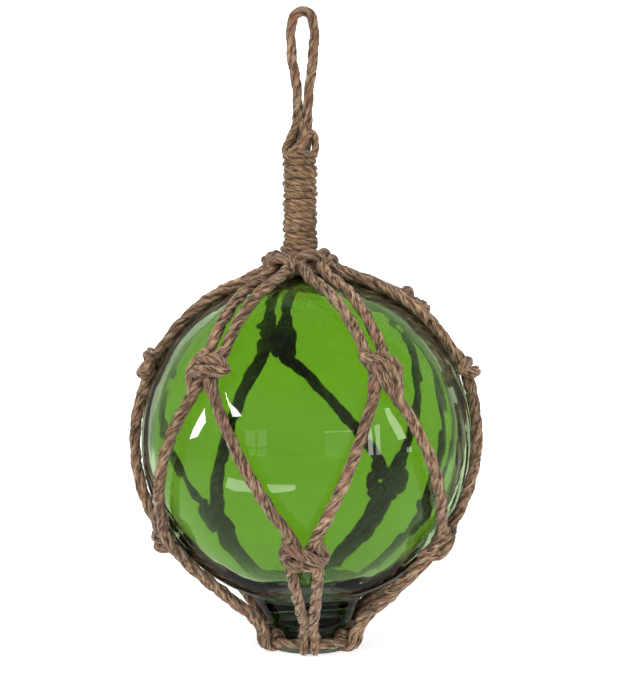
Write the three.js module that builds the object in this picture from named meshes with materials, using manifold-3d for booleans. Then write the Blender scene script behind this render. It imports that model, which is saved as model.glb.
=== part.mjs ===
// A clear glass float ball with a flat foot, held in a knotted net of three-strand rope with a whipped
// neck and a hanging loop. Millimetres, +Z up. The origin is the centre of the foot's flat underside,
// and -Y is the front. Azimuths are in degrees from the front, growing towards +X, and polar angles are
// measured down from the ball's top.
import * as THREE from "three";
import { mergeVertices } from "three/addons/utils/BufferGeometryUtils.js";
import Module from "manifold-3d";

const wasm = await Module();
wasm.setup();

// Glass
const ballRadius = 100;
const footDepth = 27; // from the ball's lowest point to the underside
const footRadius = 24;
const waistRadius = 19.5; // where the rope ring lies round the foot
const footTop = 25;
const flarePolar = 159; // where the ball starts to draw out into the foot
const ballCentre = new THREE.Vector3(-2, 0, footDepth + ballRadius);

// Rope
const ropeRadius = 3.2;
const loopRadius = 3.4;
const touchGap = 0.3;
const ropeSides = 5;

// Net: six pairs of ropes leave the neck, and each upper knot sends one rope to the lower knot on
// either side of it. The tyer's work is uneven, so that every knot has its own place.
const upperKnots = [
  { azimuth: -36, polar: 63, turn: 8, flip: 1 },
  { azimuth: 26, polar: 63.5, turn: 52, flip: -1 },
  { azimuth: 89, polar: 67, turn: 15, flip: 1 },
  { azimuth: 108, polar: 39, turn: 30, flip: -1 },
  { azimuth: 195, polar: 51, turn: -10, flip: 1 },
  { azimuth: 262, polar: 65, turn: 20, flip: -1 },
];
const lowerKnots = [
  { azimuth: -2, polar: 126.5, turn: -32, flip: -1 },
  { azimuth: 58, polar: 124.5, turn: 25, flip: 1 },
  { azimuth: 115, polar: 121, turn: 0, flip: -1 },
  { azimuth: 147, polar: 109, turn: 35, flip: 1 },
  { azimuth: 227, polar: 125, turn: -15, flip: -1 },
  { azimuth: 290, polar: 124, turn: 30, flip: 1 },
];
const knotWidth = 19; // across the core
const knotHeight = 17;
const knotDepth = 9.5;
const knotReach = 12; // from a knot's middle to where its ropes leave it
const crownSpread = 5; // half the distance between the two ropes above an upper knot
const knotSpread = 7; // the same where ropes leave or enter lower down

// Neck
const neckAxis = new THREE.Vector2(-6, 0);
const neckRingRadius = 8.5;
const neckRingHeight = 236;
const skirtRadius = 27; // where the pairs leave the bulk of the neck
const pairHalfAngle = 13; // degrees from a pair's middle to each of its ropes
const lobeRadius = 14;
const lobeHeight = 235.5;
const lobeTilt = 60; // degrees that each hitch leans out from upright
const lobeWidth = 17;
const lobeLength = 15;
const sleeveBottom = 242;
const sleeveTurns = 13;
const sleevePitch = 4.2;
const sleeveOuter = 10.4;
const sleeveInner = 7.3;

// Hanging loop
const legSpread = 3.6;
const eyeBottom = 336;
const eyeTop = 382;
const eyeSpread = 7.3;
const loopLean = 0.018; // sideways for each millimetre above the whipping

// Foot ring
const ringRadius = 26.2;
const ringHeight = 6;
const hitchReach = 6.2; // from the ring rope's middle to the outside of the turns over it
const hitchRise = 5.1;
const hitchWidth = 5.4;
const hitchAngle = 7.5; // degrees from a pair's middle to each of its turns

const toRadians = THREE.MathUtils.degToRad;
const xAxis = new THREE.Vector3(1, 0, 0);
const zAxis = new THREE.Vector3(0, 0, 1);

function direction(azimuth, polar) {
  const a = toRadians(azimuth);
  const p = toRadians(polar);
  return new THREE.Vector3(Math.sin(p) * Math.sin(a), -Math.sin(p) * Math.cos(a), Math.cos(p));
}

function overBall(unit, lift) {
  return unit.clone().multiplyScalar(ballRadius + lift).add(ballCentre);
}

// A knot's own axes: x to the right, y up the ball, z out of the glass.
function knotFrame(knot) {
  const out = direction(knot.azimuth, knot.polar);
  const right = new THREE.Vector3(0, 0, 1).cross(out).normalize();
  const up = out.clone().cross(right);
  const matrix = new THREE.Matrix4().makeBasis(right, up, out);
  return matrix.setPosition(overBall(out, 0));
}

function atKnot(knot, x, y, z) {
  const flat = new THREE.Vector3(x, y, 0).applyMatrix4(knotFrame(knot)).sub(ballCentre).normalize();
  return overBall(flat, z);
}

function ropeSection(radius, sides) {
  const corners = Array.from({ length: sides }, (_, i) => {
    const angle = (2 * Math.PI * i) / sides;
    return new THREE.Vector2(radius * Math.cos(angle), radius * Math.sin(angle));
  });
  return new THREE.Shape(corners);
}

function tube(curve, radius, steps, sides = ropeSides) {
  return new THREE.ExtrudeGeometry(ropeSection(radius, sides), { steps, extrudePath: curve });
}

// A smooth curve whose steps fall on its points, however far apart they are.
class Stepped extends THREE.CatmullRomCurve3 {
  getUtoTmapping(u) {
    return u;
  }
}

// The stretch of a longer curve from one length along it to another.
class Stretch extends THREE.Curve {
  constructor(curve, from, to) {
    super();
    this.curve = curve;
    this.from = from / curve.getLength();
    this.to = to / curve.getLength();
  }

  getPoint(t) {
    return this.curve.getPointAt(this.from + (this.to - this.from) * t);
  }
}

function solid(geometry) {
  const bare = geometry.clone();
  bare.deleteAttribute("normal");
  bare.deleteAttribute("uv");
  const merged = mergeVertices(bare, 1e-4);
  const vertProperties = new Float32Array(merged.attributes.position.array);
  const triVerts = new Uint32Array(merged.index.array);
  return new wasm.Manifold(new wasm.Mesh({ numProp: 3, vertProperties, triVerts }));
}

function fused(geometries) {
  const whole = geometries.map(solid).reduce((sum, one) => sum.add(one));
  const mesh = whole.getMesh();
  const geometry = new THREE.BufferGeometry();
  geometry.setAttribute("position", new THREE.BufferAttribute(new Float32Array(mesh.vertProperties), 3));
  geometry.setIndex(new THREE.BufferAttribute(new Uint32Array(mesh.triVerts), 1));
  return geometry;
}

const glass = new THREE.MeshStandardMaterial({ color: 0x3f9a1e, roughness: 0.05, metalness: 0 });
const rope = new THREE.MeshStandardMaterial({ color: 0x8f6b4c, roughness: 0.9, metalness: 0 });
const yarn = new THREE.MeshStandardMaterial({ color: 0x96704f, roughness: 0.9, metalness: 0 });

const float = new THREE.Group();

function add(name, geometry, material) {
  const mesh = new THREE.Mesh(geometry, material);
  mesh.name = name;
  float.add(mesh);
}

// The ball and its foot are one piece of glass, turned from a single outline.
function glassOutline() {
  const base = ballCentre.z;
  const foot = [
    [0, 0],
    [footRadius, 0],
    [footRadius - 1.6, 1.6],
    [waistRadius, 3.8],
    [waistRadius, 9],
    [footRadius - 1.5, 12.5],
    [footRadius + 2, 17],
    [footRadius + 6, footTop],
  ];
  const outline = foot.map(([radius, height]) => new THREE.Vector2(radius, height - base));
  const rows = 15;
  for (let row = 0; row <= rows; row += 1) {
    const polar = toRadians(flarePolar * (1 - row / rows));
    outline.push(new THREE.Vector2(ballRadius * Math.sin(polar), ballRadius * Math.cos(polar)));
  }
  outline[outline.length - 1].x = 0;
  return outline;
}

// The foot sits a little to one side of the ball's own axis, over the origin.
function glassFloat() {
  const ball = new THREE.LatheGeometry(glassOutline(), 36);
  ball.rotateX(Math.PI / 2).translate(...ballCentre.toArray());
  const places = ball.attributes.position;
  for (let i = 0; i < places.count; i += 1) {
    const fade = 1 - THREE.MathUtils.smoothstep(places.getZ(i), footTop - 14, footTop + 8);
    places.setX(i, places.getX(i) - ballCentre.x * fade);
  }
  return ball;
}

// Rope paths. Each one runs from the middle of one knot, hitch or ring to the middle of the next.
const ropeLift = ropeRadius + touchGap + 0.35;
const hitchLift = ropeRadius + 1.2;

function alongBall(from, to, steps) {
  const start = from.clone().sub(ballCentre).normalize();
  const end = to.clone().sub(ballCentre).normalize();
  const angle = start.angleTo(end);
  return Array.from({ length: steps - 1 }, (_, i) => {
    const share = (i + 1) / steps;
    const a = start.clone().multiplyScalar(Math.sin((1 - share) * angle));
    const b = end.clone().multiplyScalar(Math.sin(share * angle));
    return overBall(a.add(b).normalize(), ropeLift);
  });
}

function neckPoint(azimuth, radius, height) {
  const a = toRadians(azimuth);
  return new THREE.Vector3(neckAxis.x + radius * Math.sin(a), neckAxis.y - radius * Math.cos(a), height);
}

function crownPath(index, side) {
  const knot = upperKnots[index];
  const azimuth = neckAzimuth(index) + side * pairHalfAngle;
  const exit = neckPoint(azimuth, skirtRadius, 0).sub(ballCentre);
  exit.z = Math.sqrt(ballRadius ** 2 - exit.x ** 2 - exit.y ** 2);
  const skirt = overBall(exit.normalize(), ropeLift + 0.4);
  const entry = atKnot(knot, side * crownSpread, knotReach, ropeLift);
  const middle = atKnot(knot, side * 3, 3, ropeLift);
  const spread = side * (pairHalfAngle + 8);
  const brow = neckPoint(neckAzimuth(index) + spread, 15, neckRingHeight - 1.5);
  const root = neckPoint(neckAzimuth(index) + spread, neckRingRadius, neckRingHeight + 3);
  return new THREE.CatmullRomCurve3([root, brow, skirt, ...alongBall(skirt, entry, 3), entry, middle]);
}

function neckAzimuth(index) {
  return upperKnots[0].azimuth + index * 60;
}

function meshPath(index, side) {
  const upper = upperKnots[index];
  const lower = lowerKnots[(index + (side > 0 ? 0 : 5)) % 6];
  const start = atKnot(upper, side * 3, -3, ropeLift);
  const exit = atKnot(upper, side * knotSpread, -knotReach, ropeLift);
  const entry = atKnot(lower, -side * knotSpread, knotReach, ropeLift);
  const end = atKnot(lower, -side * 3, 3, ropeLift);
  return new THREE.CatmullRomCurve3([start, exit, ...alongBall(exit, entry, 5), entry, end]);
}

// Where a taut rope leaves the ball on its way in to the ring round the foot.
const leavePolar = 137;

function ringAzimuth(index) {
  return lowerKnots[0].azimuth + index * 60;
}

function ringPoint(azimuth, radius, height) {
  const a = toRadians(azimuth);
  return new THREE.Vector3(radius * Math.sin(a), -radius * Math.cos(a), height);
}

function stayPath(index, side) {
  const knot = lowerKnots[index];
  const target = ringAzimuth(index) + side * hitchAngle;
  const start = atKnot(knot, side * 3, -3, ropeLift);
  const exit = atKnot(knot, side * knotSpread, -knotReach, ropeLift);
  const near = ringPoint(target, ringRadius + 12, ringHeight + 12);
  const leave = leavePoint(exit, near);
  const end = ringPoint(target, ringRadius, ringHeight);
  const free = leave.clone().lerp(near, 0.5);
  return new THREE.CatmullRomCurve3([start, exit, ...alongBall(exit, leave, 2), leave, free, near, end]);
}

function leavePoint(exit, near) {
  const from = exit.clone().sub(ballCentre);
  const to = near.clone().sub(ballCentre);
  const share = 0.35;
  const flat = from.clone().lerp(to, share).setZ(0).normalize();
  const polar = toRadians(leavePolar);
  return overBall(flat.multiplyScalar(Math.sin(polar)).setZ(Math.cos(polar)), ropeLift + 0.3);
}

// Cuts a path where it leaves each fastening: a stub for each end and the open run between them.
function threeParts(path, first, last, steps) {
  const length = path.getLength();
  return {
    head: tube(new Stretch(path, 0, first), ropeRadius, 1),
    run: tube(new Stretch(path, first + touchGap, length - last - touchGap), ropeRadius, steps),
    tail: tube(new Stretch(path, length - last, length), ropeRadius, 1),
  };
}

const knotStub = 10;
const neckStub = 16;
const ringStub = 7;
const sides = [-1, 1];
const crown = upperKnots.map((_, i) => sides.map((s) => threeParts(crownPath(i, s), neckStub, knotStub, 4)));
const mesh = upperKnots.map((_, i) => sides.map((s) => threeParts(meshPath(i, s), knotStub, knotStub, 7)));
const stays = lowerKnots.map((_, i) => sides.map((s) => threeParts(stayPath(i, s), knotStub, ringStub, 4)));

// A knot: a tight core, a bight standing on one side, and a turn drawn across the front.
function knotWraps(knot) {
  const side = -knot.flip;
  const depth = knotDepth;
  const bight = [
    [side * 3, 6.5, depth * 0.5],
    [side * 9, 5, depth * 0.6],
    [side * 9, -5, depth * 0.6],
    [side * 3, -6.5, depth * 0.5],
  ];
  const turn = toRadians(knot.turn) * knot.flip;
  const across = [
    [-6.5, 0, depth * 0.4],
    [-6.8, 0, depth * 0.75],
    [0, 0, depth + 0.4],
    [7.2, 0, depth * 0.75],
    [6.5, 0, depth * 0.4],
  ].map(([x, y, z]) => [x * Math.cos(turn) - y * Math.sin(turn), x * Math.sin(turn) - 1.5 + y, z]);
  return [bight, across].map((points) => {
    const curve = new THREE.CatmullRomCurve3(points.map(([x, y, z]) => atKnot(knot, x, y, z)));
    return tube(curve, ropeRadius, 3);
  });
}

function knotCore(knot) {
  const core = new THREE.SphereGeometry(1, 6, 4).rotateX(Math.PI / 2);
  core.scale(knotWidth / 2, knotHeight / 2, knotDepth / 2).translate(0, 0, knotDepth / 2 + touchGap + 0.5);
  return core.applyMatrix4(knotFrame(knot));
}

function knotSolid(knot, stubs) {
  return fused([knotCore(knot), ...knotWraps(knot), ...stubs]);
}

// The pairs start as hitches over a small ring at the root of the neck: a lobe that leans down on to
// the ball, with a turn across it.
function neckHitch(azimuth) {
  const lobe = new THREE.CylinderGeometry(5, lobeWidth / 2, lobeLength, 8).rotateX(Math.PI / 2);
  lobe.scale(1, 0.5, 1).rotateX(toRadians(-lobeTilt)).rotateZ(toRadians(azimuth));
  lobe.translate(...neckPoint(azimuth, lobeRadius, lobeHeight).toArray());
  const across = [-1, -0.75, 0.75, 1].map((share) => {
    const lift = Math.abs(share) === 1 ? -1 : 3.6;
    const place = new THREE.Vector3(share * 6.2, 0, lift).applyAxisAngle(xAxis, toRadians(90 - lobeTilt));
    place.applyAxisAngle(zAxis, toRadians(azimuth));
    return place.add(neckPoint(azimuth, lobeRadius, lobeHeight));
  });
  return [lobe, tube(new THREE.CatmullRomCurve3(across), ropeRadius - 0.4, 3)];
}

function neckRing() {
  const ring = new THREE.TorusGeometry(neckRingRadius, ropeRadius + 0.6, 5, 9);
  return ring.translate(neckAxis.x, neckAxis.y, neckRingHeight);
}

// The yarn wound round the neck, as a sleeve with one swelling for each turn.
function sleeve() {
  const top = sleeveTurns * sleevePitch;
  const profile = [new THREE.Vector2(sleeveInner, 0)];
  for (let turn = 0; turn < sleeveTurns; turn += 1) {
    const flare = turn === 0 ? 0.8 : 0.2 * Math.sin(turn * 2.4);
    profile.push(new THREE.Vector2(sleeveOuter - 0.9 + flare, turn * sleevePitch));
    profile.push(new THREE.Vector2(sleeveOuter + flare, (turn + 0.5) * sleevePitch));
  }
  profile.push(new THREE.Vector2(sleeveOuter - 0.9, top), new THREE.Vector2(sleeveInner, top));
  profile.push(profile[0].clone());
  const wound = new THREE.LatheGeometry(profile, 12).rotateX(Math.PI / 2);
  return wound.translate(neckAxis.x, neckAxis.y, sleeveBottom);
}

// The last turns climb over the legs of the loop and are tucked under themselves.
function tuck(height, tilt) {
  const points = Array.from({ length: 8 }, (_, i) => {
    const angle = (2 * Math.PI * i) / 8;
    const x = 10.1 * Math.cos(angle);
    return new THREE.Vector3(neckAxis.x + x, 6.6 * Math.sin(angle), height + tilt * x);
  });
  const curve = new THREE.CatmullRomCurve3(points, true);
  return tube(curve, 2.3, 10, 5);
}

// One rope, up from the ring at the root of the neck, over the top and down again.
function hangingLoop() {
  const top = sleeveBottom + sleeveTurns * sleevePitch;
  const leg = [
    [legSpread, sleeveBottom - 1.2],
    [legSpread, top],
    [legSpread + 0.1, eyeBottom - 16],
    [legSpread + 0.2, eyeBottom - 4],
    [eyeSpread - 1.8, eyeBottom + 9],
    [eyeSpread - 0.2, eyeBottom + 20],
    [eyeSpread, eyeBottom + 33],
    [eyeSpread, eyeTop],
  ];
  const arch = [35, 90, 145].map((degrees) => {
    const a = toRadians(degrees);
    return [eyeSpread * Math.cos(a), eyeTop + eyeSpread * Math.sin(a)];
  });
  const down = leg.map(([out, z]) => [-out, z]).reverse();
  const points = [...leg, ...arch, ...down].map(([out, z]) => {
    const lean = z > top ? (z - top) * loopLean : 0;
    return new THREE.Vector3(neckAxis.x + out + lean, 0, z);
  });
  return tube(new Stepped(points), loopRadius, points.length - 1, 6);
}

// The ring round the foot, with a hitch over it where each pair comes in.
function footRing() {
  const ring = new THREE.TorusGeometry(ringRadius, ropeRadius, 6, 18);
  return ring.translate(0, 0, ringHeight);
}

function footHitch(azimuth) {
  const corners = Array.from({ length: 8 }, (_, i) => {
    const angle = (Math.PI * (i + 0.5)) / 4;
    const corner = 1 / Math.cos(Math.PI / 8);
    return new THREE.Vector2(hitchReach * corner * Math.cos(angle), hitchRise * corner * Math.sin(angle));
  });
  const turn = new THREE.ExtrudeGeometry(new THREE.Shape(corners), { depth: hitchWidth, bevelEnabled: false });
  turn.translate(ringRadius, 0, -hitchWidth / 2).rotateX(Math.PI / 2);
  return turn.rotateZ(toRadians(azimuth - 90)).translate(0, 0, ringHeight);
}

add("glass_float", glassFloat(), glass);
upperKnots.forEach((knot, i) => {
  const stubs = [...crown[i].map((part) => part.tail), ...mesh[i].map((part) => part.head)];
  add(`upper_knot_${i + 1}`, knotSolid(knot, stubs), rope);
});
lowerKnots.forEach((knot, i) => {
  const stubs = [mesh[i][1].tail, mesh[(i + 1) % 6][0].tail, ...stays[i].map((part) => part.head)];
  add(`lower_knot_${i + 1}`, knotSolid(knot, stubs), rope);
});
[["crown_rope", crown], ["mesh_rope", mesh], ["stay_rope", stays]].forEach(([name, pairs]) => {
  pairs.forEach((pair, i) => {
    pair.forEach((part, j) => add(`${name}_${i + 1}_${"ab"[j]}`, part.run, rope));
  });
});
const hitches = upperKnots.flatMap((_, i) => neckHitch(neckAzimuth(i)));
add("neck_ring", fused([neckRing(), ...hitches]), rope);
const turns = lowerKnots.flatMap((_, i) => sides.map((side) => footHitch(ringAzimuth(i) + side * hitchAngle)));
add("foot_ring", fused([footRing(), ...turns]), rope);
add("neck_whipping", fused([sleeve(), tuck(sleeveBottom + 58, 0.28)]), yarn);
add("hanging_loop", hangingLoop(), rope);

export default float;
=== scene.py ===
import math
import random

import bpy
import numpy as np
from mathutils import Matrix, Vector


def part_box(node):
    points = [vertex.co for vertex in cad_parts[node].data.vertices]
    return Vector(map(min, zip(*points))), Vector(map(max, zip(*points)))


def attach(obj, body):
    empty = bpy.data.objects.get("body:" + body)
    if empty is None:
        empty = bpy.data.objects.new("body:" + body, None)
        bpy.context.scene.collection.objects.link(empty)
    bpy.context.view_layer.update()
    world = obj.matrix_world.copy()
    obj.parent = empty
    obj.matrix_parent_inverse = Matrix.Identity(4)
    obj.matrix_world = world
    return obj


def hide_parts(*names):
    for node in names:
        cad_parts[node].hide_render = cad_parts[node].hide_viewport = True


# Glass float ball in a knotted jute net. Metres, +Z up, -Y is the front.
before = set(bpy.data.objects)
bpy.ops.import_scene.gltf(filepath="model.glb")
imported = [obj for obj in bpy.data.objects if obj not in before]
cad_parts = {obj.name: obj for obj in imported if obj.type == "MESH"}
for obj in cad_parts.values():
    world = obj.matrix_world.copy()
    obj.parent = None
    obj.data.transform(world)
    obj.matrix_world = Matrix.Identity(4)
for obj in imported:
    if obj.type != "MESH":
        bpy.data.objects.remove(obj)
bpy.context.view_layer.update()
mm = 0.001
print("frame loaded", len(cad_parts), "nodes")


def boxMiddle(node):
    low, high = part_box(node)
    return (np.array(low) + np.array(high)) / 2


ballRadius = 0.1
glassLow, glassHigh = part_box("glass_float")
ballCentre = np.array([(glassLow.x + glassHigh.x) / 2, 0.0, glassHigh.z - ballRadius])
neckMiddle = boxMiddle("neck_ring")
neckMiddle[:2] = boxMiddle("neck_whipping")[:2]
ringMiddle = boxMiddle("foot_ring")
upDirection = np.array([0.0, 0.0, 1.0])
pairCount = 6
pairStep = math.radians(360 / pairCount)
backPairs = (3, 4)  # the pairs that show through the glass


def unit(vector):
    return vector / np.linalg.norm(vector)


def overGlass(outward, lift):
    return ballCentre + unit(outward) * (ballRadius + lift)


def azimuthOf(point, centre):
    return math.atan2(point[0] - centre[0], -(point[1] - centre[1]))


def around(centre, azimuth, radius, height):
    return np.array([centre[0] + radius * math.sin(azimuth), centre[1] - radius * math.cos(azimuth), height])


# A knot's own axes: right, up the ball, and out of the glass.
def axesAt(out):
    right = unit(np.cross(upDirection, out))
    return {"out": out, "right": right, "up": np.cross(out, right)}


def knotPlace(node):
    return axesAt(unit(boxMiddle(node) - ballCentre))


def atKnot(place, x, y, z):
    flat = place["out"] * ballRadius + (place["right"] * x + place["up"] * y) * mm
    return overGlass(flat, z * mm)


# Degrees by which a tied knot has slipped up (+) and to the right (+) from its place in the net.
slipped = {
    "lower_knot_1": (4.2, 0.0),
    "lower_knot_2": (0.5, 4.0),
    "upper_knot_5": (-6.0, 0.0),
    "lower_knot_4": (-3.0, 0.0),
}


def slippedPlace(node):
    place = knotPlace(node)
    rise, right = slipped.get(node, (0.0, 0.0))
    out = place["out"] + place["up"] * math.radians(rise) + place["right"] * math.radians(right)
    return axesAt(unit(out))


upperPlaces = [slippedPlace(f"upper_knot_{i + 1}") for i in range(pairCount)]
lowerPlaces = [slippedPlace(f"lower_knot_{i + 1}") for i in range(pairCount)]


def runLengths(line):
    return np.concatenate([[0], np.cumsum(np.linalg.norm(np.diff(line, axis=0), axis=1))])


spanSteps = 24  # fine steps between two points, before the line is cut evenly


# A smooth line through points, with even steps. It bends most evenly where the points lie evenly.
def smoothLine(points, step, closed=False):
    pts = np.array(points, float)
    if closed:
        pts = np.vstack([pts[-1], pts, pts[0], pts[1]])
    else:
        pts = np.vstack([2 * pts[0] - pts[1], pts, 2 * pts[-1] - pts[-2]])
    out = []
    for i in range(1, len(pts) - 2):
        p0, p1, p2, p3 = pts[i - 1:i + 3]
        k0, k1, k2 = (max(np.linalg.norm(b - a), 1e-6) ** 0.5 for a, b in ((p0, p1), (p1, p2), (p2, p3)))
        m1 = (p2 - p1) + k1 * ((p1 - p0) / k0 - (p2 - p0) / (k0 + k1))
        m2 = (p2 - p1) + k1 * ((p3 - p2) / k2 - (p3 - p1) / (k1 + k2))
        t = np.linspace(0, 1, spanSteps, endpoint=False)[:, None]
        out.append((2 * t**3 - 3 * t**2 + 1) * p1 + (t**3 - 2 * t**2 + t) * m1
                   + (3 * t**2 - 2 * t**3) * p2 + (t**3 - t**2) * m2)
    line = np.vstack(out + [pts[-2][None]])
    gone = runLengths(line)
    count = max(4, int(round(gone[-1] / step)) + 1)
    even = np.linspace(0, gone[-1], count)
    return np.stack([np.interp(even, gone, line[:, axis]) for axis in range(3)], axis=1)


def tangentsOf(line):
    t = np.gradient(line, axis=0)
    return t / np.maximum(np.linalg.norm(t, axis=1), 1e-9)[:, None]


# Sideways axes carried along a line without turning round it.
def carriedAxes(line):
    t = tangentsOf(line)
    start = np.cross(t[0], [0.31, 0.17, 0.94])
    normals = [unit(start)]
    for direction in t[1:]:
        n = normals[-1] - direction * np.dot(normals[-1], direction)
        normals.append(unit(n))
    normals = np.array(normals)
    return t, normals, np.cross(t, normals)


# A slow, smooth wander between about -1 and 1 along a length.
def wander(lengths, wave, rng):
    total = np.zeros(len(lengths))
    for octave in (1, 1.7, 2.9):
        weight = math.cos(rng.uniform(0, 1))
        start = rng.uniform(0, 6.28)
        total += weight * np.sin(lengths * octave * 2 * math.pi / wave + start) / octave
    return total / 1.9


floorPress = 1.3 * mm  # what would reach lower is pressed together between this height and the floor


class MeshParts:
    def __init__(self):
        self.verts, self.faces, self.coords, self.outward = [], [], [], []
        self.count = 0

    # A skin over rings of vertices, with a fan closing each end.
    def addTube(self, rings, coords, outward):
        n, sides, _ = rings.shape
        base = self.count
        index = base + np.arange(n * sides).reshape(n, sides)
        a, b = index[:-1], index[1:]
        quads = np.stack([a, np.roll(a, -1, 1), np.roll(b, -1, 1), b], axis=-1).reshape(-1, 4)
        self.verts.append(rings.reshape(-1, 3))
        self.outward.append(outward.reshape(-1))
        self.faces += quads.tolist()
        first = base + n * sides
        last = first + 1
        self.verts.append(np.array([rings[0].mean(0), rings[-1].mean(0)]))
        self.outward.append(np.array([0.0, 0.0]))
        for j in range(sides):
            k = (j + 1) % sides
            self.faces.append([int(index[0, k]), int(index[0, j]), first])
            self.faces.append([int(index[-1, j]), int(index[-1, k]), last])
        along = np.stack([coords[:-1], coords[:-1], coords[1:], coords[1:]], axis=-1)[:, None]
        across = (np.arange(sides)[:, None] + np.array([0, 1, 1, 0]))[None] / sides
        quadCoords = np.stack([across.repeat(n - 1, 0), along.repeat(sides, 1)], axis=-1)
        self.coords.append(quadCoords.reshape(-1, 2))
        capCoords = [[[(j + 1) / sides, end], [j / sides, end], [0.5, end]]
                     for j in range(sides) for end in (coords[0], coords[-1])]
        self.coords.append(np.array(capCoords).reshape(-1, 2))
        self.count += n * sides + 2

    # The whole as one object, with nothing below the floor.
    def build(self, name, material):
        mesh = bpy.data.meshes.new(name)
        verts = np.vstack(self.verts)
        pressed = verts[:, 2] < floorPress
        verts[pressed, 2] = floorPress * np.exp(verts[pressed, 2] / floorPress - 1)
        mesh.from_pydata(verts.tolist(), [], self.faces)
        layer = mesh.uv_layers.new(name="ropeRun")
        layer.data.foreach_set("uv", np.vstack(self.coords).astype(np.float32).ravel())
        out = mesh.attributes.new("outward", "FLOAT", "POINT")
        out.data.foreach_set("value", np.concatenate(self.outward).astype(np.float32))
        mesh.polygons.foreach_set("use_smooth", [True] * len(mesh.polygons))
        mesh.materials.append(material)
        mesh.update()
        piece = bpy.data.objects.new(name, mesh)
        bpy.context.scene.collection.objects.link(piece)
        return piece


ropeMake = {
    "radius": 3.55 * mm,
    "radiusUneven": 0.035,  # share by which the radius wanders, over radiusWave
    "radiusWave": 31 * mm,
    "lay": 42 * mm,  # length in which a strand goes once round
    "layUneven": 0.35,  # radians by which the strands run ahead or behind, over layWave
    "layWave": 45 * mm,
    "strandSides": 12,
    "step": 1.0 * mm,
    "strandWide": 0.6,  # of the rope's radius, along its surface
    "strandDeep": 0.52,
    "strandOut": 0.47,  # from the rope's middle to a strand's middle
    "strandUneven": 0.09,
    "strandWave": 17 * mm,
    "strandOval": 0.05,
    "yarns": 5,
    "yarnLay": 13 * mm,
    "yarnRelief": 0.075,
    "ridge": 0.12,
}
hairMake = {
    "spacing": 0.75 * mm,
    "length": (1.6 * mm, 6.5 * mm),
    "shortMore": 2.2,  # above 1, short hairs are commoner than long ones
    "thickness": 0.1 * mm,
    "thin": (0.7, 1.5),
    "taper": 0.7,
    "root": 0.86,  # of the rope's radius
    "lean": (0.5, 1.3),
    "aside": (-0.6, 0.6),
    "standOff": (0.12, 0.7),
    "curlOut": (-0.5, 0.35),
    "curlAside": (-0.8, 0.8),
    "curl": 0.7,
    "tint": 40,
}


# One strand along a line, a little uneven, with its own shallow yarns twisted the other way.
def addStrand(parts, line, radii, out, rng, shift):
    lengths = runLengths(line)
    t = tangentsOf(line)
    e1 = out - t * np.sum(out * t, axis=1)[:, None]
    e1 /= np.linalg.norm(e1, axis=1)[:, None]
    e2 = np.cross(t, e1)
    sides = ropeMake["strandSides"]
    theta = np.arange(sides) * 2 * math.pi / sides
    twist = lengths[:, None] / ropeMake["yarnLay"] * 2 * math.pi
    relief = 1 + ropeMake["yarnRelief"] * np.cos(ropeMake["yarns"] * theta[None] + twist + shift)
    relief = relief + ropeMake["strandOval"] * np.sin(2 * theta[None] - twist * 0.37 + shift * 3)
    relief = relief * (1 + ropeMake["strandUneven"] * wander(lengths, ropeMake["strandWave"], rng))[:, None]
    ridges = np.random.default_rng(rng.randrange(1 << 30)).normal(size=(len(line), sides))
    for _ in range(2):
        padded = np.vstack([ridges[:1], ridges, ridges[-1:]])
        ridges = (padded[:-2] + padded[1:-1] * 2 + padded[2:]) / 4
    relief = relief + ropeMake["ridge"] * ridges
    a = (radii * ropeMake["strandDeep"])[:, None] * np.cos(theta)[None] * relief
    b = (radii * ropeMake["strandWide"])[:, None] * np.sin(theta)[None] * relief
    rings = line[:, None] + a[..., None] * e1[:, None] + b[..., None] * e2[:, None]
    girth = 2 * math.pi * ropeMake["radius"] * ropeMake["strandWide"]
    coords = lengths / girth + shift * 7  # the shift keeps two strands from showing the same fibres
    parts.addTube(rings, coords, np.cos(theta)[None].repeat(len(line), 0))


# Short loose fibres that stand off a rope's surface, each a thin tapering tube.
def addHairs(parts, line, radii, rng, spacing):
    t, n, b = carriedAxes(line)
    lengths = runLengths(line)
    low, high = hairMake["length"]
    share = np.linspace(0, 1, 4)[:, None]
    theta = np.arange(3) * 2 * math.pi / 3
    for _ in range(int(lengths[-1] / spacing)):
        i = rng.randrange(1, len(line) - 1)
        angle = rng.uniform(0, 2 * math.pi)
        side = n[i] * math.cos(angle) + b[i] * math.sin(angle)
        across = np.cross(t[i], side)
        lean = rng.choice((-1, 1)) * rng.uniform(*hairMake["lean"])
        aside = rng.uniform(*hairMake["aside"])
        heading = unit(t[i] * lean + across * aside + side * rng.uniform(*hairMake["standOff"]))
        curl = side * rng.uniform(*hairMake["curlOut"]) + across * rng.uniform(*hairMake["curlAside"])
        reach = low + (high - low) * rng.random() ** hairMake["shortMore"]
        base = line[i] + side * radii[i] * hairMake["root"]
        hair = base + heading * reach * share + curl * reach * share**2 * hairMake["curl"]
        thin = hairMake["thickness"] * rng.uniform(*hairMake["thin"]) * (1 - hairMake["taper"] * share[:, 0])
        _, hn, hb = carriedAxes(hair)
        rings = hair[:, None] + thin[:, None, None] * (
            np.cos(theta)[None, :, None] * hn[:, None] + np.sin(theta)[None, :, None] * hb[:, None])
        parts.addTube(rings, share[:, 0] * 2 + rng.uniform(0, hairMake["tint"]), np.full((4, 3), 0.9))


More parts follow.
